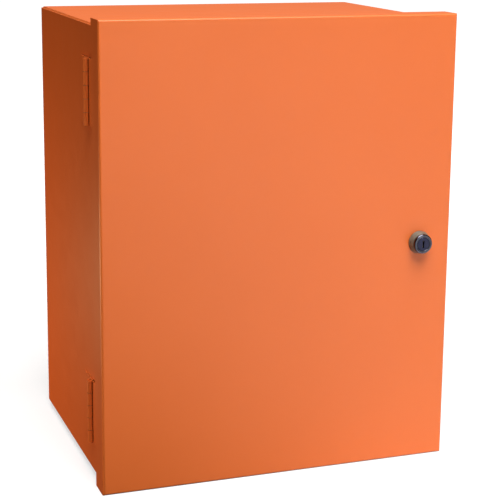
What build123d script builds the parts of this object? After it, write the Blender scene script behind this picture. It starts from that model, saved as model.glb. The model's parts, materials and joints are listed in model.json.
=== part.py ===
# Wall-mount hinged sheet-steel enclosure. Millimetres.
# Frame: origin on the back's outer face, centred in width and height; the wall is at +Y,
# the door faces -Y, +Z is up and +X runs from the hinges to the lock.
import math
import os

from build123d import *

os.makedirs("parts", exist_ok=True)

# ---------------------------------------------------------------- driving sizes
BODY_W = 406.4          # 16 in box
BODY_H = 508.0          # 20 in box
DEPTH = 304.8           # 12 in from the wall to the door's front
SHEET = 1.5             # sheet thickness, body and door
BEND_IN = 1.0           # inner bend radius of the body sheets
LIP = 18.0              # width of the body's front lips
TRAY = 15.0             # depth of the top and bottom panels' flanges
LIP_GAP = 0.5           # slit between the end panels' lips and the side lips
RELIEF = 1.0            # end panels' side flanges start this far behind the side lips
CORNER_AIR = 0.2        # end panels clear of the wrap's inner bends

DOOR_SEAT = 1.5         # air between the door's skin and the body's front
DOOR_FLANGE = 31.75     # depth of the door's flanges, front face to back edge
DOOR_OVER_Z = 7.5       # door past the body, top and bottom
DOOR_BEND_IN = 1.5      # inner bend radius along the door's front
SWING_AIR = 1.0         # least air at the lock side as the door swings

HINGE_LEN = 73.0        # height of one hinge
HINGE_END = 73.5        # hinge centre from the end of the body
HINGE_BACK = 21.0       # hinge axis behind the door flange's back edge
KNUCKLES = 5
KNUCKLE_GAP = 0.4       # between neighbouring knuckles
KNUCKLE_AIR = 0.4       # between a knuckle and the body's side
PIN_R = 2.0
PIN_FIT = 0.05          # radial clearance of the pin in its knuckles
LEAF = 1.5              # hinge leaf thickness
LEAF_HOLD = 17.0        # leaf width past the door flange's back edge
LEAF_AIR = 0.5          # between the door leaf and the body's side
LEAF_R = 3.0            # leaf's free corners
LEAF_JOIN = 1.0         # knuckle strips run this far into the leaf
PIN_SHY = 0.3           # pin ends inside the outer knuckles' ends
PIN_TIP = 0.4           # chamfer at the pin's ends

LOCK_AIR = 3.5          # between the lock nut and the side lip
HEAD_R = 11.4           # lock head
HEAD_T = 3.8
HEAD_ROUND = 1.6
COLLAR_R = 13.3         # collar at the door
COLLAR_T = 8.0
COLLAR_FOOT = 1.0       # straight foot under the collar's taper
COLLAR_STEP = 0.2       # collar's small end outside the head
COLLAR_ROUND = 0.4
BARREL_R = 9.5          # lock barrel
BARREL_AF = 16.0        # across its two flats
BARREL_FIT = 0.1
BARREL_BACK = 16.0      # barrel end behind the door's front face
PLUG_R = 6.4
PLUG_FIT = 0.05
PLUG_HEAD_R = 7.6
PLUG_HEAD_T = 1.5
PLUG_SHY = 0.2          # plug face behind the head's face
PLUG_ROUND = 0.3
TAIL = 8.0              # square tail that drives the cam
TAIL_FIT = 0.05
KEY_W, KEY_H = 2.0, 8.4
WAFERS = 5
WAFER_T = 1.0
WAFER_W = 4.6
WAFER_SHY = 0.15        # wafer corners inside the plug's round
WINDOW_W, WINDOW_H = 1.8, 5.0
LOCK_NUT_AF = 24.0
LOCK_NUT_T = 4.0
LOCK_WASHER_R = 12.5
LOCK_WASHER_T = 0.8
CAM_T = 2.0
CAM_W = 15.0
CAM_BITE = 11.5         # how far the cam reaches behind the side lip
CAM_AIR = 1.8           # between the cam and the lip it holds
CAM_R = 3.0             # cam tongue's corners
HUB_SHY = 1.0           # hub end's corners short of a half circle
JOGGLE_AIR = 0.5        # cam's slope outside the lock nut and the lip's edge
CAM_WASHER_R = 6.8
CAM_WASHER_T = 1.2
SCREW_R = 2.5           # cam screw, M5
SCREW_HOLE = 6.0        # depth of its hole from the tail's end
SCREW_SHY = 0.5         # screw short of the hole's bottom
SCREW_HEAD_R = 4.6
SCREW_HEAD_T = 3.2
SCREW_HEAD_ROUND = 1.4
CROSS_L, CROSS_W, CROSS_D = 5.6, 1.1, 1.6
SLOT_WALL = 1.0         # between the screw hole and the last wafer

WALL_HOLE_D = 8.0
WALL_HOLE_X = 23.2      # wall holes in from the body's sides
WALL_HOLE_Z = 24.0      # wall holes in from the body's ends

PLATE_IN = 38.0         # sub-panel edges in from the body's outside
PLATE_T = 2.0
PLATE_R = 6.0
STUD_IN = 15.0          # sub-panel studs in from the sub-panel's edges
STUD_R = 3.0            # M6
STUD_FIT = 0.3          # radial play of holes over a stud
THREAD_FIT = 0.05       # radial play between a stud and its nut
NUT_AF = 10.0
NUT_T = 5.0
WASHER_R = 6.0
WASHER_T = 1.6
SPACER_R = 5.5
SPACER_T = 10.0
THREAD_OUT = 3.0        # stud showing past its nut
STUD_TIP = 0.6          # chamfer at a stud's free end
BOND_IN = 58.0          # door's bond stud in from the door's left edge
BOND_UP = 55.0          # and up from the body's bottom

# ---------------------------------------------------------------- derived places
HW, HH = BODY_W / 2, BODY_H / 2
BEND_R = BEND_IN + SHEET                         # outer bend radii
DOOR_R = DOOR_BEND_IN + SHEET
FRONT = -DEPTH                                   # door's front face
SKIN_IN = FRONT + SHEET                          # back of the door's skin
LIP_Y = SKIN_IN + DOOR_SEAT                      # body's front
FLANGE_Y = FRONT + DOOR_FLANGE                   # back edge of the door's flanges

KNUCKLE_R = PIN_R + PIN_FIT + LEAF
AXIS_X = -(HW + KNUCKLE_AIR + KNUCKLE_R)
AXIS_Y = FLANGE_Y + HINGE_BACK
DOOR_LEFT = -(HW + LEAF_AIR + LEAF + SHEET)
# A point of the lock-side flange moves inward by this much before it clears the body.
SWING_IN = ((AXIS_Y - LIP_Y) ** 2 - HINGE_BACK ** 2) / (2 * (HW - AXIS_X))
DOOR_RIGHT = HW + max(SWING_IN, 0) + SWING_AIR + SHEET
DOOR_W = DOOR_RIGHT - DOOR_LEFT
DOOR_X = (DOOR_RIGHT + DOOR_LEFT) / 2
DOOR_H = BODY_H + 2 * DOOR_OVER_Z

LOCK_TO_LIP = LOCK_NUT_AF / 2 + LOCK_AIR         # lock axis to the side lip's edge
LOCK_X = HW - LIP - LOCK_TO_LIP
BARREL_END = FRONT + BARREL_BACK
HEAD_FRONT = FRONT - COLLAR_T - HEAD_T           # face of the lock's head
CAM_FACE = LIP_Y + SHEET + CAM_AIR               # front of the cam's tongue
CAM_REACH = LOCK_TO_LIP + CAM_BITE

BACK_IN = -SHEET                                 # inner face of the back
PLATE_BACK = BACK_IN - SPACER_T
PLATE_FRONT = PLATE_BACK - PLATE_T
PLATE_STUDS = [(sx * (HW - PLATE_IN - STUD_IN), sz * (HH - PLATE_IN - STUD_IN))
               for sx in (-1, 1) for sz in (-1, 1)]
WALL_HOLES = [(sx * (HW - WALL_HOLE_X), sz * (HH - WALL_HOLE_Z))
              for sx in (-1, 1) for sz in (-1, 1)]
EARTH_AT = (0, BACK_IN, -HH + WALL_HOLE_Z)        # under the sub-panel, in line with the wall holes
BOND_AT = (DOOR_LEFT + BOND_IN, SKIN_IN, -HH + BOND_UP)
HINGE_Z = {"upper": HH - HINGE_END, "lower": -HH + HINGE_END}


def save(builder, name):
    builder.part.label = name
    export_step(builder.part, f"parts/{name}.step")


def facing(x, y, z):
    """Sketch plane at a point, seen from behind the box: extrusion runs to +Y."""
    return Plane(origin=(x, y, z), x_dir=(-1, 0, 0), z_dir=(0, 1, 0))


def rod(x, y, z, r, length, axis=(0, 1, 0), mode=Mode.ADD):
    """Round bar from a point along an axis, in the current part."""
    with Locations(Plane(origin=(x, y, z), z_dir=axis)):
        Cylinder(r, length, align=(Align.CENTER, Align.CENTER, Align.MIN), mode=mode)


def channel(width, leg):
    """Bent U section: web along y = 0, both legs hanging to y = -leg."""
    with BuildSketch() as outer:
        Rectangle(width, leg, align=(Align.CENTER, Align.MAX))
        fillet(outer.vertices().group_by(Axis.Y)[-1], BEND_R)
    with BuildSketch() as inner:
        with Locations((0, -SHEET)):
            Rectangle(width - 2 * SHEET, leg, align=(Align.CENTER, Align.MAX))
        fillet(inner.vertices().group_by(Axis.Y)[-1], BEND_IN)
    with BuildSketch() as section:
        add(outer.sketch)
        add(inner.sketch, mode=Mode.SUBTRACT)
    return section.sketch


# ---------------------------------------------------------------- cabinet body
# One sheet: left lip, left side, back, right side, right lip. Its upper and lower edges are
# level with the end panels' inner faces, which leaves the panels' rounded bends in sight.
with BuildPart() as cabinet_wrap:
    body_depth = -LIP_Y
    with BuildSketch(Plane.XY.offset(SHEET - HH)) as wrap_section:
        with Locations((0, LIP_Y / 2)):
            Rectangle(BODY_W, body_depth)
        fillet(wrap_section.vertices(), BEND_R)
        with BuildSketch(Plane.XY.offset(SHEET - HH), mode=Mode.SUBTRACT) as hollow:
            with Locations((0, LIP_Y / 2)):
                Rectangle(BODY_W - 2 * SHEET, body_depth - 2 * SHEET)
            fillet(hollow.vertices(), BEND_IN)
        with Locations((0, LIP_Y)):
            Rectangle(BODY_W - 2 * LIP, 4 * SHEET, mode=Mode.SUBTRACT)
    extrude(amount=BODY_H - 2 * SHEET)
    for x, z in WALL_HOLES:
        rod(x, BACK_IN, z, WALL_HOLE_D / 2, SHEET, mode=Mode.SUBTRACT)
save(cabinet_wrap, "cabinet_wrap")


def end_panel():
    """Top panel: flat tray let into the wrap, flanges down, front lip between the side lips."""
    inside_w = BODY_W - 2 * SHEET
    lip_w = BODY_W - 2 * LIP - 2 * LIP_GAP
    side_start = LIP_Y + SHEET + RELIEF          # side flanges begin behind the side lips
    corner = BEND_IN + CORNER_AIR                # clears the wrap's inner bends
    with BuildPart() as panel:
        # left and right flanges with the web between them
        side_plane = Plane(origin=(0, side_start, HH), x_dir=(-1, 0, 0), z_dir=(0, 1, 0))
        with BuildSketch(side_plane):
            add(channel(inside_w, TRAY))
        extrude(amount=BACK_IN - corner - side_start)
        # front lip and back flange with the web between them
        mid_y = (LIP_Y + BACK_IN) / 2
        cross_plane = Plane(origin=(-lip_w / 2, mid_y, HH), x_dir=(0, 1, 0), z_dir=(1, 0, 0))
        with BuildSketch(cross_plane):
            add(channel(BACK_IN - LIP_Y, TRAY))
        extrude(amount=lip_w)
        # the back flange and web run on to the corners
        for side in (-1, 1):
            reach = inside_w / 2 - corner - lip_w / 2
            tail = Plane(origin=(side * lip_w / 2, mid_y, HH), x_dir=(0, side, 0),
                         z_dir=(side, 0, 0))
            with BuildSketch(tail):
                add(channel(BACK_IN - LIP_Y, TRAY))
            extrude(amount=reach)
        # over the side lips the panel is flat and open below
        for side in (-1, 1):
            with Locations((side * HW, LIP_Y, HH - SHEET)):
                Box(2 * (HW - lip_w / 2), 2 * (side_start - LIP_Y), 2 * TRAY,
                    align=(Align.CENTER, Align.CENTER, Align.MAX), mode=Mode.SUBTRACT)
    return panel.part


with BuildPart() as top_panel:
    add(end_panel())
save(top_panel, "top_panel")

with BuildPart() as bottom_panel:
    add(mirror(end_panel(), about=Plane.XY))
save(bottom_panel, "bottom_panel")


# ---------------------------------------------------------------- hinges
KNUCKLE_LEN = (HINGE_LEN - (KNUCKLES - 1) * KNUCKLE_GAP) / KNUCKLES
BODY_KNUCKLES = range(0, KNUCKLES, 2)            # counted from below
DOOR_KNUCKLES = range(1, KNUCKLES, 2)


def hinge_leaf(z, way, inner_x, picks):
    """Leaf from the axis towards way (+1 back, -1 front), with the picked knuckles."""
    clear = KNUCKLE_R + KNUCKLE_GAP
    away = Align.MIN if way > 0 else Align.MAX
    with BuildPart() as leaf:
        with Locations((inner_x, AXIS_Y + way * clear, z)):
            Box(LEAF, HINGE_BACK + LEAF_HOLD - clear, HINGE_LEN,
                align=(Align.MAX, away, Align.CENTER))
        for i in picks:
            low = z - HINGE_LEN / 2 + i * (KNUCKLE_LEN + KNUCKLE_GAP)
            with BuildSketch(Plane.XY.offset(low)):
                with Locations((AXIS_X, AXIS_Y)):
                    Circle(KNUCKLE_R)
                with Locations((inner_x, AXIS_Y)):
                    Rectangle(LEAF, clear + LEAF_JOIN, align=(Align.MAX, away))
                with Locations((AXIS_X, AXIS_Y)):
                    Circle(PIN_R + PIN_FIT, mode=Mode.SUBTRACT)
            extrude(amount=KNUCKLE_LEN)
        far_corners = leaf.edges().filter_by(Axis.X).sort_by(Axis.Y, reverse=way > 0)[:2]
        fillet(far_corners, LEAF_R)
    return leaf.part


for where, hinge_z in HINGE_Z.items():
    with BuildPart() as hinge_body_leaf:
        add(hinge_leaf(hinge_z, 1, -HW, BODY_KNUCKLES))
    save(hinge_body_leaf, f"{where}_hinge_body_leaf")

    with BuildPart() as hinge_door_leaf:
        add(hinge_leaf(hinge_z, -1, -HW - LEAF_AIR, DOOR_KNUCKLES))
    save(hinge_door_leaf, f"{where}_hinge_door_leaf")

    with BuildPart() as hinge_pin:
        rod(AXIS_X, AXIS_Y, hinge_z - HINGE_LEN / 2 + PIN_SHY, PIN_R,
            HINGE_LEN - 2 * PIN_SHY, (0, 0, 1))
        chamfer(hinge_pin.edges().filter_by(GeomType.CIRCLE), PIN_TIP)
    save(hinge_pin, f"{where}_hinge_pin")


# ---------------------------------------------------------------- door
def flatted(r, af):
    """Round with two flats, left and right."""
    Circle(r)
    Rectangle(af, 2 * r, mode=Mode.INTERSECT)


with BuildPart() as door_pan_outer:
    with Locations((DOOR_X, FRONT, 0)):
        Box(DOOR_W, DOOR_FLANGE, DOOR_H, align=(Align.CENTER, Align.MIN, Align.CENTER))
    fillet(door_pan_outer.faces().sort_by(Axis.Y)[0].edges(), DOOR_R)

with BuildPart() as door_pan_inner:
    with Locations((DOOR_X, SKIN_IN, 0)):
        Box(DOOR_W - 2 * SHEET, DOOR_FLANGE, DOOR_H - 2 * SHEET,
            align=(Align.CENTER, Align.MIN, Align.CENTER))
    fillet(door_pan_inner.faces().sort_by(Axis.Y)[0].edges(), DOOR_R - SHEET)

with BuildPart() as door_panel:
    add(door_pan_outer.part)
    add(door_pan_inner.part, mode=Mode.SUBTRACT)
    with BuildSketch(facing(LOCK_X, FRONT, 0)):
        flatted(BARREL_R + BARREL_FIT, BARREL_AF + 2 * BARREL_FIT)
    extrude(amount=SHEET, mode=Mode.SUBTRACT)
save(door_panel, "door_panel")

with BuildPart() as door_bond_stud:
    rod(*BOND_AT, STUD_R, WASHER_T + NUT_T + THREAD_OUT)
    chamfer(door_bond_stud.edges().filter_by(GeomType.CIRCLE).sort_by(Axis.Y)[-1], STUD_TIP)
save(door_bond_stud, "door_bond_stud")


def hex_nut(af, bore, thick):
    """Hex nut standing on XY, its corners broken at both faces."""
    corner_r = af / 3 ** 0.5
    drop = (corner_r - af / 2) / 2               # corners broken at about 27 degrees
    with BuildPart() as nut:
        with BuildSketch():
            RegularPolygon(af / 2, 6, major_radius=False, rotation=30)
            Circle(bore, mode=Mode.SUBTRACT)
        extrude(amount=thick)
        with BuildSketch(Plane.XZ):
            with BuildLine():
                Polyline((0, 0), (af / 2, 0), (corner_r, drop), (corner_r, thick - drop),
                         (af / 2, thick), (0, thick), close=True)
            make_face()
        revolve(axis=Axis.Z, mode=Mode.INTERSECT)
    return nut.part


def upright(x, y, z, axis=(0, 1, 0)):
    """Place at a point whose Z runs along the axis and whose X stays upright."""
    return Plane(origin=(x, y, z), x_dir=(0, 0, 1), z_dir=axis)


M6_NUT = hex_nut(NUT_AF, STUD_R + THREAD_FIT, NUT_T)
LOCK_NUT = hex_nut(LOCK_NUT_AF, BARREL_R + BARREL_FIT, LOCK_NUT_T)

with BuildPart() as door_bond_washer:
    rod(*BOND_AT, WASHER_R, WASHER_T)
    rod(*BOND_AT, STUD_R + STUD_FIT, WASHER_T, mode=Mode.SUBTRACT)
save(door_bond_washer, "door_bond_washer")

with BuildPart() as door_bond_nut:
    with Locations(upright(BOND_AT[0], BOND_AT[1] + WASHER_T, BOND_AT[2])):
        add(M6_NUT)
save(door_bond_nut, "door_bond_nut")

# ---------------------------------------------------------------- lock, fixed pieces
# Tapered bright collar between the door and the lock's head.
with BuildPart() as lock_collar:
    with BuildSketch(Plane.XY):
        with BuildLine():
            Polyline((LOCK_X + BARREL_R + BARREL_FIT, FRONT), (LOCK_X + COLLAR_R, FRONT),
                     (LOCK_X + COLLAR_R, FRONT - COLLAR_FOOT),
                     (LOCK_X + HEAD_R + COLLAR_STEP, FRONT - COLLAR_T),
                     (LOCK_X + BARREL_R + BARREL_FIT, FRONT - COLLAR_T), close=True)
        make_face()
    revolve(axis=Axis((LOCK_X, 0, 0), (0, 1, 0)))
    outer_rims = lock_collar.edges().filter_by(GeomType.CIRCLE).filter_by(
        lambda rim: rim.radius > HEAD_R)
    fillet(outer_rims, COLLAR_ROUND)
save(lock_collar, "lock_collar")

with BuildPart() as lock_housing:
    rod(LOCK_X, HEAD_FRONT, 0, HEAD_R, HEAD_T)
    fillet(lock_housing.edges().sort_by(Axis.Y)[0], HEAD_ROUND)
    with BuildSketch(facing(LOCK_X, FRONT - COLLAR_T, 0)):
        flatted(BARREL_R, BARREL_AF)
    extrude(amount=COLLAR_T + BARREL_BACK)
    with BuildSketch(facing(LOCK_X, HEAD_FRONT, 0)):
        Circle(PLUG_HEAD_R + PLUG_FIT)
    extrude(amount=PLUG_HEAD_T, mode=Mode.SUBTRACT)
    with BuildSketch(facing(LOCK_X, HEAD_FRONT, 0)):
        Circle(PLUG_R + PLUG_FIT)
    extrude(amount=BARREL_END - HEAD_FRONT, mode=Mode.SUBTRACT)
save(lock_housing, "lock_housing")

with BuildPart() as lock_washer:
    with BuildSketch(facing(LOCK_X, SKIN_IN, 0)):
        Circle(LOCK_WASHER_R)
        with BuildSketch(facing(LOCK_X, SKIN_IN, 0), mode=Mode.SUBTRACT):
            flatted(BARREL_R + BARREL_FIT, BARREL_AF + 2 * BARREL_FIT)
    extrude(amount=LOCK_WASHER_T)
save(lock_washer, "lock_washer")

with BuildPart() as lock_nut:
    with Locations(upright(LOCK_X, SKIN_IN + LOCK_WASHER_T, 0)):
        add(LOCK_NUT)
save(lock_nut, "lock_nut")

# ---------------------------------------------------------------- lock, turning pieces
PLUG_BACK = BARREL_END + PLUG_FIT                # small end play behind the barrel
TAIL_END = PLUG_BACK + CAM_T
PLUG_FACE = HEAD_FRONT + PLUG_SHY
PLUG_STEP = HEAD_FRONT + PLUG_HEAD_T             # where the plug narrows behind its head
WAFER_PITCH = (TAIL_END - SCREW_HOLE - SLOT_WALL - PLUG_STEP) / WAFERS
WAFER_YS = [PLUG_STEP + WAFER_PITCH * (i + 0.5) for i in range(WAFERS)]
SLOT_T = WAFER_T + 2 * PLUG_FIT
WAFER_H = 2 * math.sqrt((PLUG_R - WAFER_SHY) ** 2 - (WAFER_W / 2) ** 2)

with BuildPart() as lock_plug:
    rod(LOCK_X, PLUG_FACE, 0, PLUG_HEAD_R, PLUG_STEP - PLUG_FACE)
    fillet(lock_plug.edges().sort_by(Axis.Y)[0], PLUG_ROUND)
    rod(LOCK_X, PLUG_STEP, 0, PLUG_R, PLUG_BACK - PLUG_STEP)
    with BuildSketch(facing(LOCK_X, PLUG_BACK, 0)):
        Rectangle(TAIL, TAIL)
    extrude(amount=CAM_T)
    # keyway, then one slot for each wafer
    with BuildSketch(facing(LOCK_X, PLUG_FACE, 0)):
        Rectangle(KEY_W, KEY_H)
    extrude(amount=WAFER_YS[-1] + SLOT_T / 2 - PLUG_FACE, mode=Mode.SUBTRACT)
    for wafer_y in WAFER_YS:
        with Locations((LOCK_X, wafer_y, 0)):
            Box(WAFER_W + 2 * PLUG_FIT, SLOT_T, 2 * PLUG_HEAD_R, mode=Mode.SUBTRACT)
    rod(LOCK_X, TAIL_END - SCREW_HOLE, 0, SCREW_R + THREAD_FIT, SCREW_HOLE,
        mode=Mode.SUBTRACT)
save(lock_plug, "lock_plug")

with BuildPart() as lock_wafers:
    for wafer_y in WAFER_YS:
        with Locations((LOCK_X, wafer_y, 0)):
            Box(WAFER_W, WAFER_T, WAFER_H)
            Box(WINDOW_W, WAFER_T, WINDOW_H, mode=Mode.SUBTRACT)
save(lock_wafers, "lock_wafers")

# Cam: flat hub on the tail, a joggle towards the door, a tongue that goes behind the lip.
# It hangs down at rest.
with BuildPart() as lock_cam:
    slope_top = -LOCK_NUT_AF / 2 - JOGGLE_AIR
    slope_foot = -LOCK_TO_LIP - JOGGLE_AIR
    joggle = math.atan2(PLUG_BACK - CAM_FACE, slope_top - slope_foot)
    bend_shift = CAM_T * math.tan(joggle / 2)    # keeps the slope as thick as the sheet
    with BuildSketch(Plane.YZ.offset(LOCK_X - CAM_W / 2)):
        with BuildLine():
            Polyline((PLUG_BACK, CAM_W / 2), (TAIL_END, CAM_W / 2),
                     (TAIL_END, slope_top - bend_shift),
                     (CAM_FACE + CAM_T, slope_foot - bend_shift),
                     (CAM_FACE + CAM_T, -CAM_REACH), (CAM_FACE, -CAM_REACH),
                     (CAM_FACE, slope_foot), (PLUG_BACK, slope_top), close=True)
        make_face()
    extrude(amount=CAM_W)
    corners = lock_cam.edges().filter_by(Axis.Y).group_by(Axis.Z)
    fillet(corners[-1], CAM_W / 2 - HUB_SHY)
    fillet(corners[0], CAM_R)
    with BuildSketch(facing(LOCK_X, PLUG_BACK, 0)):
        Rectangle(TAIL + 2 * TAIL_FIT, TAIL + 2 * TAIL_FIT)
    extrude(amount=CAM_T, mode=Mode.SUBTRACT)
save(lock_cam, "lock_cam")

with BuildPart() as cam_washer:
    rod(LOCK_X, TAIL_END, 0, CAM_WASHER_R, CAM_WASHER_T)
    rod(LOCK_X, TAIL_END, 0, SCREW_R + THREAD_FIT, CAM_WASHER_T, mode=Mode.SUBTRACT)
save(cam_washer, "cam_washer")

with BuildPart() as cam_screw:
    screw_tip = TAIL_END - SCREW_HOLE + SCREW_SHY
    head_back = TAIL_END + CAM_WASHER_T
    rod(LOCK_X, screw_tip, 0, SCREW_R, head_back - screw_tip)
    rod(LOCK_X, head_back, 0, SCREW_HEAD_R, SCREW_HEAD_T)
    fillet(cam_screw.edges().sort_by(Axis.Y)[-1], SCREW_HEAD_ROUND)
    with Locations((LOCK_X, head_back + SCREW_HEAD_T, 0)):
        for turn in (0, 90):
            Box(CROSS_L, 2 * CROSS_D, CROSS_W, rotation=(0, turn, 0), mode=Mode.SUBTRACT)
save(cam_screw, "cam_screw")

# ---------------------------------------------------------------- sub-panel and its fixings
with BuildPart() as subpanel:
    with BuildSketch(facing(0, PLATE_FRONT, 0)):
        RectangleRounded(BODY_W - 2 * PLATE_IN, BODY_H - 2 * PLATE_IN, PLATE_R)
        with Locations(*PLATE_STUDS):
            Circle(STUD_R + STUD_FIT, mode=Mode.SUBTRACT)
    extrude(amount=PLATE_T)
save(subpanel, "subpanel")

with BuildPart() as subpanel_studs:
    stud_end = PLATE_FRONT - WASHER_T - NUT_T - THREAD_OUT
    for x, z in PLATE_STUDS:
        rod(x, stud_end, z, STUD_R, BACK_IN - stud_end)
    chamfer(subpanel_studs.edges().filter_by(GeomType.CIRCLE).group_by(Axis.Y)[0], STUD_TIP)
save(subpanel_studs, "subpanel_studs")

with BuildPart() as subpanel_spacers:
    for x, z in PLATE_STUDS:
        rod(x, PLATE_BACK, z, SPACER_R, SPACER_T)
        rod(x, PLATE_BACK, z, STUD_R + STUD_FIT, SPACER_T, mode=Mode.SUBTRACT)
save(subpanel_spacers, "subpanel_spacers")

with BuildPart() as subpanel_washers:
    for x, z in PLATE_STUDS:
        rod(x, PLATE_FRONT - WASHER_T, z, WASHER_R, WASHER_T)
        rod(x, PLATE_FRONT - WASHER_T, z, STUD_R + STUD_FIT, WASHER_T, mode=Mode.SUBTRACT)
save(subpanel_washers, "subpanel_washers")

with BuildPart() as subpanel_nuts:
    with Locations(*[upright(x, PLATE_FRONT - WASHER_T, z, (0, -1, 0)) for x, z in PLATE_STUDS]):
        add(M6_NUT)
save(subpanel_nuts, "subpanel_nuts")

# ---------------------------------------------------------------- earth point on the back
with BuildPart() as earth_stud:
    rod(*EARTH_AT, STUD_R, WASHER_T + NUT_T + THREAD_OUT, (0, -1, 0))
    chamfer(earth_stud.edges().filter_by(GeomType.CIRCLE).sort_by(Axis.Y)[0], STUD_TIP)
save(earth_stud, "earth_stud")

with BuildPart() as earth_washer:
    rod(*EARTH_AT, WASHER_R, WASHER_T, (0, -1, 0))
    rod(*EARTH_AT, STUD_R + STUD_FIT, WASHER_T, (0, -1, 0), mode=Mode.SUBTRACT)
save(earth_washer, "earth_washer")

with BuildPart() as earth_nut:
    with Locations(upright(EARTH_AT[0], EARTH_AT[1] - WASHER_T, EARTH_AT[2], (0, -1, 0))):
        add(M6_NUT)
save(earth_nut, "earth_nut")
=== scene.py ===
# Orange sheet-steel wall enclosure: materials, threads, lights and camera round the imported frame.
# Metres; the frame's own axes: +X from hinges to lock, +Y into the wall, +Z up.
import json
import math

import bmesh
import bpy
from mathutils import Matrix, Vector


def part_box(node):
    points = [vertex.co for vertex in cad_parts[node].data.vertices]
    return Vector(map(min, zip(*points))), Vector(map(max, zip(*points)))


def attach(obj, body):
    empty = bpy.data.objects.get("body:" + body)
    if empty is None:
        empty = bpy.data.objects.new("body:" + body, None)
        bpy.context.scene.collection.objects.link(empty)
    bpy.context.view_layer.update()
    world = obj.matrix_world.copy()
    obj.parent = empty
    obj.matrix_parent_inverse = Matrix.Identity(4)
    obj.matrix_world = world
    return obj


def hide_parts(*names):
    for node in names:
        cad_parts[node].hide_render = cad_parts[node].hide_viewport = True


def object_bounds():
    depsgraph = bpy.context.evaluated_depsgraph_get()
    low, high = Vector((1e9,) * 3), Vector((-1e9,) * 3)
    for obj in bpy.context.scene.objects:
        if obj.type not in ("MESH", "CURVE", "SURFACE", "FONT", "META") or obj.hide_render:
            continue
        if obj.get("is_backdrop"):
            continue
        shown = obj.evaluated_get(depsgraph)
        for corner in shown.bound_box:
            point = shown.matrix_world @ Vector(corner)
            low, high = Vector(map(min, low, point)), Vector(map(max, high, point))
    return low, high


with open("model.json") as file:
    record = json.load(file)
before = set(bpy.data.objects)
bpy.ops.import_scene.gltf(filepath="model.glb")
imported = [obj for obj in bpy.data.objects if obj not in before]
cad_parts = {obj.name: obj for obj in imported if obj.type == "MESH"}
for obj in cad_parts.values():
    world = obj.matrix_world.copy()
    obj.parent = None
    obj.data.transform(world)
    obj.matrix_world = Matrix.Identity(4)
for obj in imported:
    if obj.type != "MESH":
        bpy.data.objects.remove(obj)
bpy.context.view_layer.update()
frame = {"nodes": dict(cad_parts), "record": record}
nodes = frame["nodes"]

MM = 0.001

# ------------------------------------------------------------------ places, from the frame
door_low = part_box("door_panel")[0]
head_low, head_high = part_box("lock_housing")
collar_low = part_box("lock_collar")[0]
LOCK_X = (head_low.x + head_high.x) / 2
LOCK_AXIS = Vector((LOCK_X, 0, 0))
FLOOR_Z = door_low.z

# ------------------------------------------------------------------ named values
EDGE_WEAR_AND_HIGHLIGHT = 0.9 * MM            # how far from a sharp edge the paint looks thin and lighter: partly worn paint, partly painted highlight
EDGE_WEAR_AND_HIGHLIGHT_SHARE = 0.45
PAINTED_SHADE_REACH = 3.5 * MM              # how near another face the colour is darkened, as painted shade
SHEET_BEVEL = 0.35 * MM
SMALL_BEVEL = 0.2 * MM          # hinges, cam and plug
BEVEL_FROM = math.radians(40)   # edges that turn more than this are broken
STUD_R = 3.0 * MM               # M6
STUD_PITCH = 1.0 * MM
STUD_TIP = 0.6 * MM             # chamfer at the free end
STUD_TURN = 32                  # vertices round a stud
STUD_DEPTH = 0.61 * STUD_PITCH
THREAD_STEPS = 6                # rings of vertices in one pitch, on studs and barrel
FLANK_SLOPE, FLANK_START = 1.35, 0.15   # leave a narrow flat on crest and root
BARREL_R, BARREL_FLAT = 9.5 * MM, 8.0 * MM
BARREL_BORE = 6.45 * MM
BARREL_PITCH, BARREL_DEPTH = 1.5 * MM, 0.75 * MM
BARREL_TIP = (0.8 * MM, 0.9 * MM)   # chamfer at the barrel's end: along it, and off its radius
HEAD_RIM = 1.6 * MM             # roundness of the head's outer rim
HEAD_RING = 0.75 * MM           # roundness of the ring round the plug
RING_SHY = 0.15 * MM            # the ring lies this far behind the rim
GROOVE = 1.0 * MM               # depth of the groove between ring and rim
HEAD_FOOT = (0.5 * MM, 0.3 * MM)    # chamfer at the head's foot: along it, and off its radius
PLUG_GAP = 0.05 * MM
COUNTERBORE = 1.5 * MM          # how deep the plug's recess goes into the head
HEAD_TURN = 96                  # vertices round the head and its barrel
FLOOR_SIZE, FLOOR_DROP = 12.0, 0.2 * MM

# ------------------------------------------------------------------ node helpers


def node_adder(tree):
    """A helper that adds a node to a tree and sets its sockets or its settings by name."""

    def add(kind, **values):
        node = tree.nodes.new(kind)
        for key, value in values.items():
            if key in node.inputs:
                node.inputs[key].default_value = value
            else:
                setattr(node, key, value)
        return node

    return add


def new_material(name):
    """Material, the call that links its sockets, its Principled shader and its node adder."""
    mat = bpy.data.materials.new(name)
    mat.use_nodes = True
    tree = mat.node_tree
    return mat, tree.links.new, tree.nodes["Principled BSDF"], node_adder(tree)


def noise(add, link, coords, scale, detail):
    """Noise at a size given as features per metre."""
    tex = add("ShaderNodeTexNoise", Scale=scale, Detail=detail)
    link(coords, tex.inputs["Vector"])
    return tex.outputs["Fac"]


def map_range(add, link, value, source, target, **settings):
    """Maps one low-high range to another, clamped at its ends."""
    node = add("ShaderNodeMapRange", **settings)
    for socket, number in zip(("From Min", "From Max", "To Min", "To Max"), (*source, *target)):
        node.inputs[socket].default_value = number
    link(value, node.inputs["Value"])
    return node.outputs["Result"]


def spread(add, link, value, low, high):
    """Maps the middle of a 0 to 1 value, where most of a noise lies, to a low-high range."""
    return map_range(add, link, value, source=(0.3, 0.7), target=(low, high))


def blend(add, link, share, first, second):
    """First colour at share 0, second at 1. Each is an (r, g, b) or another node's output."""
    node = add("ShaderNodeMix", data_type="RGBA")
    link(share, node.inputs["Factor"])
    for socket, colour in zip([s for s in node.inputs if s.type == "RGBA"], (first, second)):
        if isinstance(colour, tuple):
            socket.default_value = (*colour, 1)
        else:
            link(colour, socket)
    return next(s for s in node.outputs if s.type == "RGBA")


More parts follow.
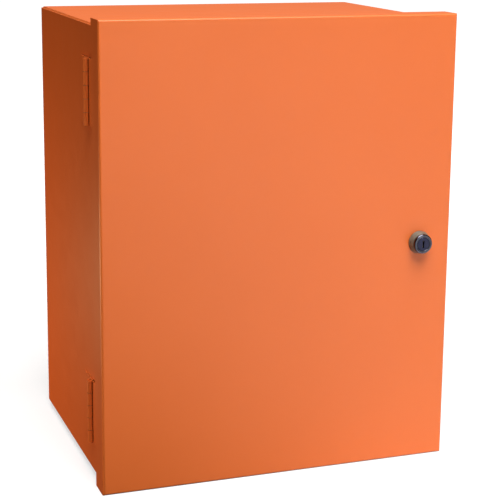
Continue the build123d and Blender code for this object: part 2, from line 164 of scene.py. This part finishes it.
def camera_split(add, link, tree, to_camera, to_rest, kind):
    """Shows the camera one shader and every other ray another, and links the mix to the output."""
    path = add("ShaderNodeLightPath")
    mix = add("ShaderNodeMixShader")
    link(path.outputs["Is Camera Ray"], mix.inputs[0])
    link(to_rest.outputs[0], mix.inputs[1])
    link(to_camera.outputs[0], mix.inputs[2])
    out = next(n for n in tree.nodes if n.type == kind)
    link(mix.outputs[0], out.inputs["Surface"])


def bump(add, link, height, distance, strength, normal=None):
    """Bump that stands distance high, on top of another bump's normal if one is given."""
    node = add("ShaderNodeBump", Distance=distance, Strength=strength)
    link(height, node.inputs["Height"])
    if normal is not None:
        link(normal, node.inputs["Normal"])
    return node.outputs["Normal"]


def edge_mask(add, link, radius):
    """1 at sharp edges, 0 on flats, from how far the bevelled normal turns."""
    bevel = add("ShaderNodeBevel", samples=4, Radius=radius)
    geometry = add("ShaderNodeNewGeometry")
    dot = add("ShaderNodeVectorMath", operation="DOT_PRODUCT")
    link(bevel.outputs["Normal"], dot.inputs[0])
    link(geometry.outputs["Normal"], dot.inputs[1])
    return map_range(add, link, dot.outputs["Value"], source=(0.995, 0.8), target=(0.0, 1.0))


# ------------------------------------------------------------------ materials


def powder_coat():
    """Semi-gloss orange powder coat: orange peel, lighter along sharp edges as worn paint and painted
    highlight, and darkened by painted shade in crevices.
    """
    mat, link, shader, add = new_material("powder_coat")
    coords = add("ShaderNodeTexCoord").outputs["Object"]
    patch = noise(add, link, coords, scale=9, detail=3)
    colour = blend(add, link, patch, (0.74, 0.146, 0.023), (0.78, 0.158, 0.027))
    # Lighter orange along sharp edges: partly thin, worn powder coat and partly a painted highlight of the
    # lit edges.
    wear_and_highlight_share = add("ShaderNodeMath", operation="MULTIPLY")
    link(edge_mask(add, link, EDGE_WEAR_AND_HIGHLIGHT), wear_and_highlight_share.inputs[0])
    wear_and_highlight_share.inputs[1].default_value = EDGE_WEAR_AND_HIGHLIGHT_SHARE
    worn_and_highlit = blend(add, link, wear_and_highlight_share.outputs[0], colour, (0.90, 0.22, 0.05))
    # Painted shade: ambient occlusion darkens the orange towards a dark brown in seams, knuckle gaps and
    # crevices, where shade falls.
    painted_crevice_shade = add("ShaderNodeAmbientOcclusion", samples=8, Distance=PAINTED_SHADE_REACH)
    share_outside_painted_shade = spread(add, link, painted_crevice_shade.outputs["AO"], low=0.15, high=1.0)
    link(blend(add, link, share_outside_painted_shade, (0.10, 0.012, 0.002), worn_and_highlit), shader.inputs["Base Color"])
    smear = noise(add, link, coords, scale=45, detail=4)
    link(spread(add, link, smear, low=0.37, high=0.42), shader.inputs["Roughness"])
    peel = noise(add, link, coords, scale=420, detail=1)
    grain = noise(add, link, coords, scale=1500, detail=2)
    rippled = bump(add, link, peel, distance=0.06 * MM, strength=0.35)
    link(bump(add, link, grain, distance=0.02 * MM, strength=0.35, normal=rippled), shader.inputs["Normal"])
    return mat


def white_enamel():
    """White baked enamel of the inner mounting panel."""
    mat, link, shader, add = new_material("panel_white")
    coords = add("ShaderNodeTexCoord").outputs["Object"]
    patch = noise(add, link, coords, scale=12, detail=3)
    colour = blend(add, link, patch, (0.76, 0.76, 0.73), (0.82, 0.82, 0.80))
    link(colour, shader.inputs["Base Color"])
    smear = noise(add, link, coords, scale=60, detail=3)
    link(spread(add, link, smear, low=0.28, high=0.4), shader.inputs["Roughness"])
    peel = noise(add, link, coords, scale=500, detail=1)
    link(bump(add, link, peel, distance=0.04 * MM, strength=0.3), shader.inputs["Normal"])
    return mat


def zinc():
    """Zinc-plated fasteners: cool grey, faintly clouded, finely grained."""
    mat, link, shader, add = new_material("zinc")
    coords = add("ShaderNodeTexCoord").outputs["Object"]
    cloud = noise(add, link, coords, scale=350, detail=4)
    colour = blend(add, link, cloud, (0.50, 0.52, 0.54), (0.70, 0.71, 0.70))
    link(colour, shader.inputs["Base Color"])
    shader.inputs["Metallic"].default_value = 1.0
    fine = noise(add, link, coords, scale=1200, detail=3)
    link(spread(add, link, fine, low=0.28, high=0.48), shader.inputs["Roughness"])
    link(bump(add, link, fine, distance=0.02 * MM, strength=0.3), shader.inputs["Normal"])
    return mat


def brass():
    """Brass, a little clouded."""
    mat, link, shader, add = new_material("brass")
    coords = add("ShaderNodeTexCoord").outputs["Object"]
    cloud = noise(add, link, coords, scale=500, detail=3)
    colour = blend(add, link, cloud, (0.60, 0.42, 0.17), (0.78, 0.58, 0.27))
    link(colour, shader.inputs["Base Color"])
    shader.inputs["Metallic"].default_value = 1.0
    link(spread(add, link, cloud, low=0.25, high=0.45), shader.inputs["Roughness"])
    return mat


def plated(name, dark, light, rough, metallic=1.0):
    """Plating on turned metal, with faint turning rings round the lock's axis."""
    mat, link, shader, add = new_material(name)
    coords = add("ShaderNodeTexCoord").outputs["Object"]
    centred = add("ShaderNodeVectorMath", operation="SUBTRACT")
    link(coords, centred.inputs[0])
    centred.inputs[1].default_value = LOCK_AXIS
    rings = add("ShaderNodeTexWave", wave_type="RINGS", rings_direction="Y", Scale=700, Distortion=1.5)
    link(centred.outputs[0], rings.inputs["Vector"])
    cloud = noise(add, link, coords, scale=300, detail=4)
    colour = blend(add, link, cloud, dark, light)
    link(colour, shader.inputs["Base Color"])
    shader.inputs["Metallic"].default_value = metallic
    link(spread(add, link, cloud, *rough), shader.inputs["Roughness"])
    link(bump(add, link, rings.outputs["Fac"], distance=0.01 * MM, strength=0.25), shader.inputs["Normal"])
    return mat


MATERIALS = {
    "powder_coat": powder_coat(),
    "panel_white": white_enamel(),
    "zinc": zinc(),
    "brass": brass(),
    # Painted reflection: the head's plating gets a near-black blue-grey so it reads as reflecting a dark
    # studio; its bright arcs come from the lamps.
    "chrome": plated("chrome", (0.07, 0.07, 0.09), (0.13, 0.13, 0.16), rough=(0.12, 0.22)),
}
# Painted reflection: the plug's near-black blue colour stands in for the dark surroundings a bright nickel
# face would reflect.
PLUG_PAINTED_REFLECTION = plated("plug_painted_reflection", (0.016, 0.016, 0.034), (0.05, 0.05, 0.085), rough=(0.16, 0.30))
# Partly painted reflection: the collar's dim olive grey, low in metal, is partly the satin plating's own
# grey and partly stands in for the dark greenish surroundings it reflects.
SATIN_AND_PAINTED_REFLECTION = plated("satin_nickel_and_painted_reflection", (0.13, 0.135, 0.10), (0.21, 0.21, 0.17), rough=(0.26, 0.38),
               metallic=0.30)


def dress(obj, mat):
    """Gives an object one material in place of its own."""
    obj.data.materials.clear()
    obj.data.materials.append(mat)


SLOT_OF = {row["node"]: row["material_slot"] for row in frame["record"]["subparts"]}
for node_name, node_obj in nodes.items():
    dress(node_obj, MATERIALS[SLOT_OF[node_name]])
dress(nodes["lock_plug"], PLUG_PAINTED_REFLECTION)
dress(nodes["lock_collar"], SATIN_AND_PAINTED_REFLECTION)


# ------------------------------------------------------------------ softened sheet edges


def soften(obj, width):
    """Breaks the sharp edges of a CAD node with modifiers, inside its own shape."""
    weld = obj.modifiers.new("weld", "WELD")
    weld.merge_threshold = 0.002 * MM
    bevel = obj.modifiers.new("edges", "BEVEL")
    bevel.width = width
    bevel.segments = 2
    bevel.limit_method = "ANGLE"
    bevel.angle_limit = BEVEL_FROM
    even = obj.modifiers.new("even", "WEIGHTED_NORMAL")
    even.keep_sharp = True
    even.weight = 100


SHEET_NODES = ["cabinet_wrap", "top_panel", "bottom_panel", "door_panel", "subpanel"]
HINGE_NODES = [n for n in nodes if "hinge" in n]
for node_name in SHEET_NODES:
    soften(nodes[node_name], SHEET_BEVEL)
for node_name in HINGE_NODES + ["lock_cam", "lock_plug"]:
    soften(nodes[node_name], SMALL_BEVEL)


# ------------------------------------------------------------------ turned and threaded pieces


def mesh_object(name, bm, body, slot):
    """Smooth piece made from a bmesh, dressed by its slot and riding a body."""
    mesh = bpy.data.meshes.new(name)
    bmesh.ops.recalc_face_normals(bm, faces=bm.faces)
    bm.to_mesh(mesh)
    bm.free()
    obj = bpy.data.objects.new(name, mesh)
    bpy.context.scene.collection.objects.link(obj)
    for face in mesh.polygons:
        face.use_smooth = True
    dress(obj, MATERIALS[slot])
    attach(obj, body)
    return obj


def thread_depth(along, angle, pitch, depth):
    """How far a V thread lies under its crest, at a place along and round the rod."""
    phase = (along / pitch - angle / math.tau) % 1.0
    ramp = abs(2 * phase - 1)
    return depth * min(1.0, max(0.0, FLANK_SLOPE * ramp - FLANK_START))


def skin_rings(bm, rings, close):
    """Quads between rings of vertices; close joins the last ring to the first."""
    count = len(rings[0])
    pairs = list(zip(rings, rings[1:])) + ([(rings[-1], rings[0])] if close else [])
    for low, high in pairs:
        for i in range(count):
            j = (i + 1) % count
            bm.faces.new((low[i], low[j], high[j], high[i]))


def threaded_rod(bm, start, axis, length):
    """M6 rod with a real helical thread; both ends are closed and its free end is chamfered."""
    axis = Vector(axis).normalized()
    side = axis.orthogonal().normalized()
    up = axis.cross(side)
    steps = max(2, round(length / STUD_PITCH * THREAD_STEPS))
    rings = []
    for k in range(steps + 1):
        along = length * k / steps
        ring = []
        for i in range(STUD_TURN):
            angle = math.tau * i / STUD_TURN
            r = STUD_R - thread_depth(along, angle, STUD_PITCH, STUD_DEPTH)
            r = min(r, STUD_R - STUD_TIP + (length - along))
            at = start + axis * along + (side * math.cos(angle) + up * math.sin(angle)) * r
            ring.append(bm.verts.new(at))
        rings.append(ring)
    skin_rings(bm, rings, close=False)
    bm.faces.new(rings[0][::-1])
    bm.faces.new(rings[-1])


def stud_piece(node, body, starts, way, length):
    """Threaded studs in place of a node's plain ones. They run towards +Y if way is 1 and towards
    -Y if it is -1."""
    bm = bmesh.new()
    for start in starts:
        threaded_rod(bm, Vector(start), (0, way, 0), length)
    obj = mesh_object(node + "_threaded", bm, body, "zinc")
    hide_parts(node)


def stud_corners(node):
    """Feet of four studs that run towards -Y, from the corners of their node's box."""
    low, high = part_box(node)
    return [(x, high.y, z) for x in (low.x + STUD_R, high.x - STUD_R)
            for z in (low.z + STUD_R, high.z - STUD_R)]


def stud_middle(low, high, foot):
    """Foot of a single stud along Y, in the middle of its node's box."""
    return [((low.x + high.x) / 2, foot, (low.z + high.z) / 2)]


panel_low, panel_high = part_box("subpanel_studs")
stud_piece("subpanel_studs", "cabinet", stud_corners("subpanel_studs"), -1,
           panel_high.y - panel_low.y)
earth_low, earth_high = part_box("earth_stud")
stud_piece("earth_stud", "cabinet", stud_middle(earth_low, earth_high, earth_high.y), -1,
           earth_high.y - earth_low.y)
bond_low, bond_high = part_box("door_bond_stud")
stud_piece("door_bond_stud", "door", stud_middle(bond_low, bond_high, bond_low.y), 1,
           bond_high.y - bond_low.y)


def arc_points(centre_r, centre_y, radius, first, last, count):
    """Points of a rounded edge in the lathe's half plane, as (radius, y)."""
    points = []
    for k in range(count + 1):
        angle = math.radians(first + (last - first) * k / count)
        points.append((centre_r + radius * math.cos(angle), centre_y + radius * math.sin(angle)))
    return points


def lock_outline(thread_start):
    """Closed outline of the lock housing, as (radius, y, kind). A round point is turned, a barrel
    point is flatted too, and a thread point is flatted and threaded."""
    head_r = (head_high.x - head_low.x) / 2
    front, end = head_low.y, head_high.y
    seat = collar_low.y
    plug_low, plug_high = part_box("lock_plug")
    counterbore_r = (plug_high.x - plug_low.x) / 2 + PLUG_GAP
    step = front + COUNTERBORE
    ring_r = counterbore_r + HEAD_RING
    groove_r = (ring_r + HEAD_RING + head_r - HEAD_RIM) / 2
    face = [(counterbore_r, step)]
    face += arc_points(ring_r, front + HEAD_RING + RING_SHY, HEAD_RING, first=-180, last=-25, count=8)
    face += [(groove_r, front + GROOVE)]
    face += arc_points(head_r - HEAD_RIM, front + HEAD_RIM, HEAD_RIM, first=-135, last=0, count=10)
    face += [(head_r, seat - HEAD_FOOT[0]), (head_r - HEAD_FOOT[1], seat)]
    thread_length = end - BARREL_TIP[0] - thread_start
    steps = round(thread_length / BARREL_PITCH * THREAD_STEPS)
    outline = [(r, y, "round") for r, y in face]
    outline += [(BARREL_R, seat, "barrel"), (BARREL_R, thread_start, "barrel")]
    outline += [(BARREL_R, thread_start + thread_length * k / steps, "thread")
                for k in range(1, steps + 1)]
    outline += [(BARREL_R - BARREL_TIP[1], end, "barrel")]
    outline += [(BARREL_BORE, end, "round"), (BARREL_BORE, step, "round")]
    return outline


def lock_housing():
    """Lock head with a rounded rim and a dished face, on a flatted and threaded barrel."""
    thread_start = door_low.y
    bm = bmesh.new()
    rings = []
    for radius, y, kind in lock_outline(thread_start):
        ring = []
        for i in range(HEAD_TURN):
            angle = math.tau * i / HEAD_TURN
            r = radius
            if kind == "thread":
                r -= thread_depth(y - thread_start, angle, BARREL_PITCH, BARREL_DEPTH)
            x, z = r * math.cos(angle), r * math.sin(angle)
            if kind != "round":
                x = max(-BARREL_FLAT, min(BARREL_FLAT, x))
            ring.append(bm.verts.new((LOCK_X + x, y, z)))
        rings.append(ring)
    skin_rings(bm, rings, close=True)
    obj = mesh_object("lock_housing_turned", bm, "door", "chrome")
    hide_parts("lock_housing")


lock_housing()

# ------------------------------------------------------------------ floor, world, lights, camera


def floor():
    """Pale floor under the door's bottom edge. The camera sees it almost white, with a soft
    contact shadow; the object sees a grey that is darker to the left, so that little light comes
    back up there."""
    bm = bmesh.new()
    bmesh.ops.create_grid(bm, x_segments=1, y_segments=1, size=FLOOR_SIZE)
    mesh = bpy.data.meshes.new("floor")
    bm.to_mesh(mesh)
    bm.free()
    obj = bpy.data.objects.new("floor", mesh)
    bpy.context.scene.collection.objects.link(obj)
    obj.location = (0, 0, FLOOR_Z - FLOOR_DROP)
    mat, link, shader, add = new_material("floor")
    tree = mat.node_tree
    tree.nodes.remove(shader)
    coords = add("ShaderNodeTexCoord").outputs["Object"]
    split = add("ShaderNodeSeparateXYZ")
    link(coords, split.inputs[0])
    grey = add("ShaderNodeBsdfDiffuse")
    tone = map_range(add, link, split.outputs["X"], source=(-0.25, 0.30), target=(0.02, 0.85),
                     interpolation_type="SMOOTHSTEP")
    link(tone, grey.inputs["Color"])
    pale = add("ShaderNodeBsdfDiffuse", Color=(0.45, 0.45, 0.45, 1))
    length = add("ShaderNodeVectorMath", operation="LENGTH")
    link(coords, length.inputs[0])
    glow = add("ShaderNodeEmission")
    far_off = map_range(add, link, length.outputs["Value"], source=(0.35, 1.8), target=(0.66, 1.0))
    link(far_off, glow.inputs["Strength"])
    white = add("ShaderNodeAddShader")
    link(pale.outputs[0], white.inputs[0])
    link(glow.outputs[0], white.inputs[1])
    camera_split(add, link, tree, white, grey, "OUTPUT_MATERIAL")
    mesh.materials.append(mat)
    obj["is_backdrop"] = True


def studio_world():
    """White to look at; as a light, a studio that is bright on the lock side and dark to the left."""
    world = bpy.data.worlds.new("studio")
    bpy.context.scene.world = world
    world.use_nodes = True
    tree = world.node_tree
    link, add = tree.links.new, node_adder(tree)
    seen = tree.nodes["Background"]
    seen.inputs["Color"].default_value = (1, 1, 1, 1)
    seen.inputs["Strength"].default_value = 1.0
    lit = add("ShaderNodeBackground", Color=(1, 1, 1, 1))
    split = add("ShaderNodeSeparateXYZ")
    link(add("ShaderNodeTexCoord").outputs["Generated"], split.inputs[0])
    strength = map_range(add, link, split.outputs["X"], source=(-0.25, 0.45), target=(0.01, 0.22),
                         interpolation_type="SMOOTHSTEP")
    link(strength, lit.inputs["Strength"])
    camera_split(add, link, tree, seen, lit, "OUTPUT_WORLD")


def softbox(name, place, target, size, power, colour=(1, 1, 1)):
    """Rectangular lamp that the camera doesn't see."""
    light = bpy.data.lights.new(name, "AREA")
    light.shape = "RECTANGLE"
    light.size, light.size_y = size
    light.energy = power
    light.color = colour
    obj = bpy.data.objects.new(name, light)
    bpy.context.scene.collection.objects.link(obj)
    obj.location = place
    obj.rotation_euler = (Vector(target) - Vector(place)).to_track_quat("-Z", "Y").to_euler()
    obj.visible_camera = False


floor()
studio_world()
CENTRE = Vector([(low + high) / 2 for low, high in zip(*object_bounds())])
softbox("key", place=(-0.05, -1.80, 3.20), target=CENTRE, size=(2.6, 2.6), power=226)
softbox("front_low", place=(0.50, -2.10, 0.05), target=(0.05, -0.30, -0.15), size=(1.3, 0.5),
        power=2.5)
softbox("left_low", place=(-0.76, 0.08, -0.18), target=(-0.2, -0.17, -0.10), size=(0.6, 0.12),
        power=2.6, colour=(1.0, 0.66, 0.34))


CAMERA_TURN, CAMERA_TILT, CAMERA_ROLL = 19.93, 11.88, 0.62      # degrees: right, down, rolled
CAMERA_FROM_CORNER = Vector((-0.3478, -1.4240, 0.6424))         # from the door's low left front
CAMERA_LENS, CAMERA_SENSOR = 101.76, 36.0                       # mm
CAMERA_SHIFT = -0.1


def camera():
    """Camera turned to the right and tilted down, with a small downward shift."""
    turn, tilt, roll = map(math.radians, (CAMERA_TURN, CAMERA_TILT, CAMERA_ROLL))
    ahead = Vector((math.sin(turn) * math.cos(tilt), math.cos(turn) * math.cos(tilt), -math.sin(tilt)))
    level = Vector((math.cos(turn), -math.sin(turn), 0))
    above = level.cross(ahead)
    right = math.cos(roll) * level + math.sin(roll) * above
    up = math.cos(roll) * above - math.sin(roll) * level
    data = bpy.data.cameras.new("camera")
    data.sensor_width = CAMERA_SENSOR
    data.lens = CAMERA_LENS
    data.shift_y = CAMERA_SHIFT
    data.clip_end = 50
    obj = bpy.data.objects.new("camera", data)
    bpy.context.scene.collection.objects.link(obj)
    turned = Matrix((right, up, -ahead)).transposed().to_4x4()
    obj.matrix_world = Matrix.Translation(door_low + CAMERA_FROM_CORNER) @ turned
    bpy.context.scene.camera = obj


camera()
bpy.context.scene.view_settings.view_transform = "Standard"
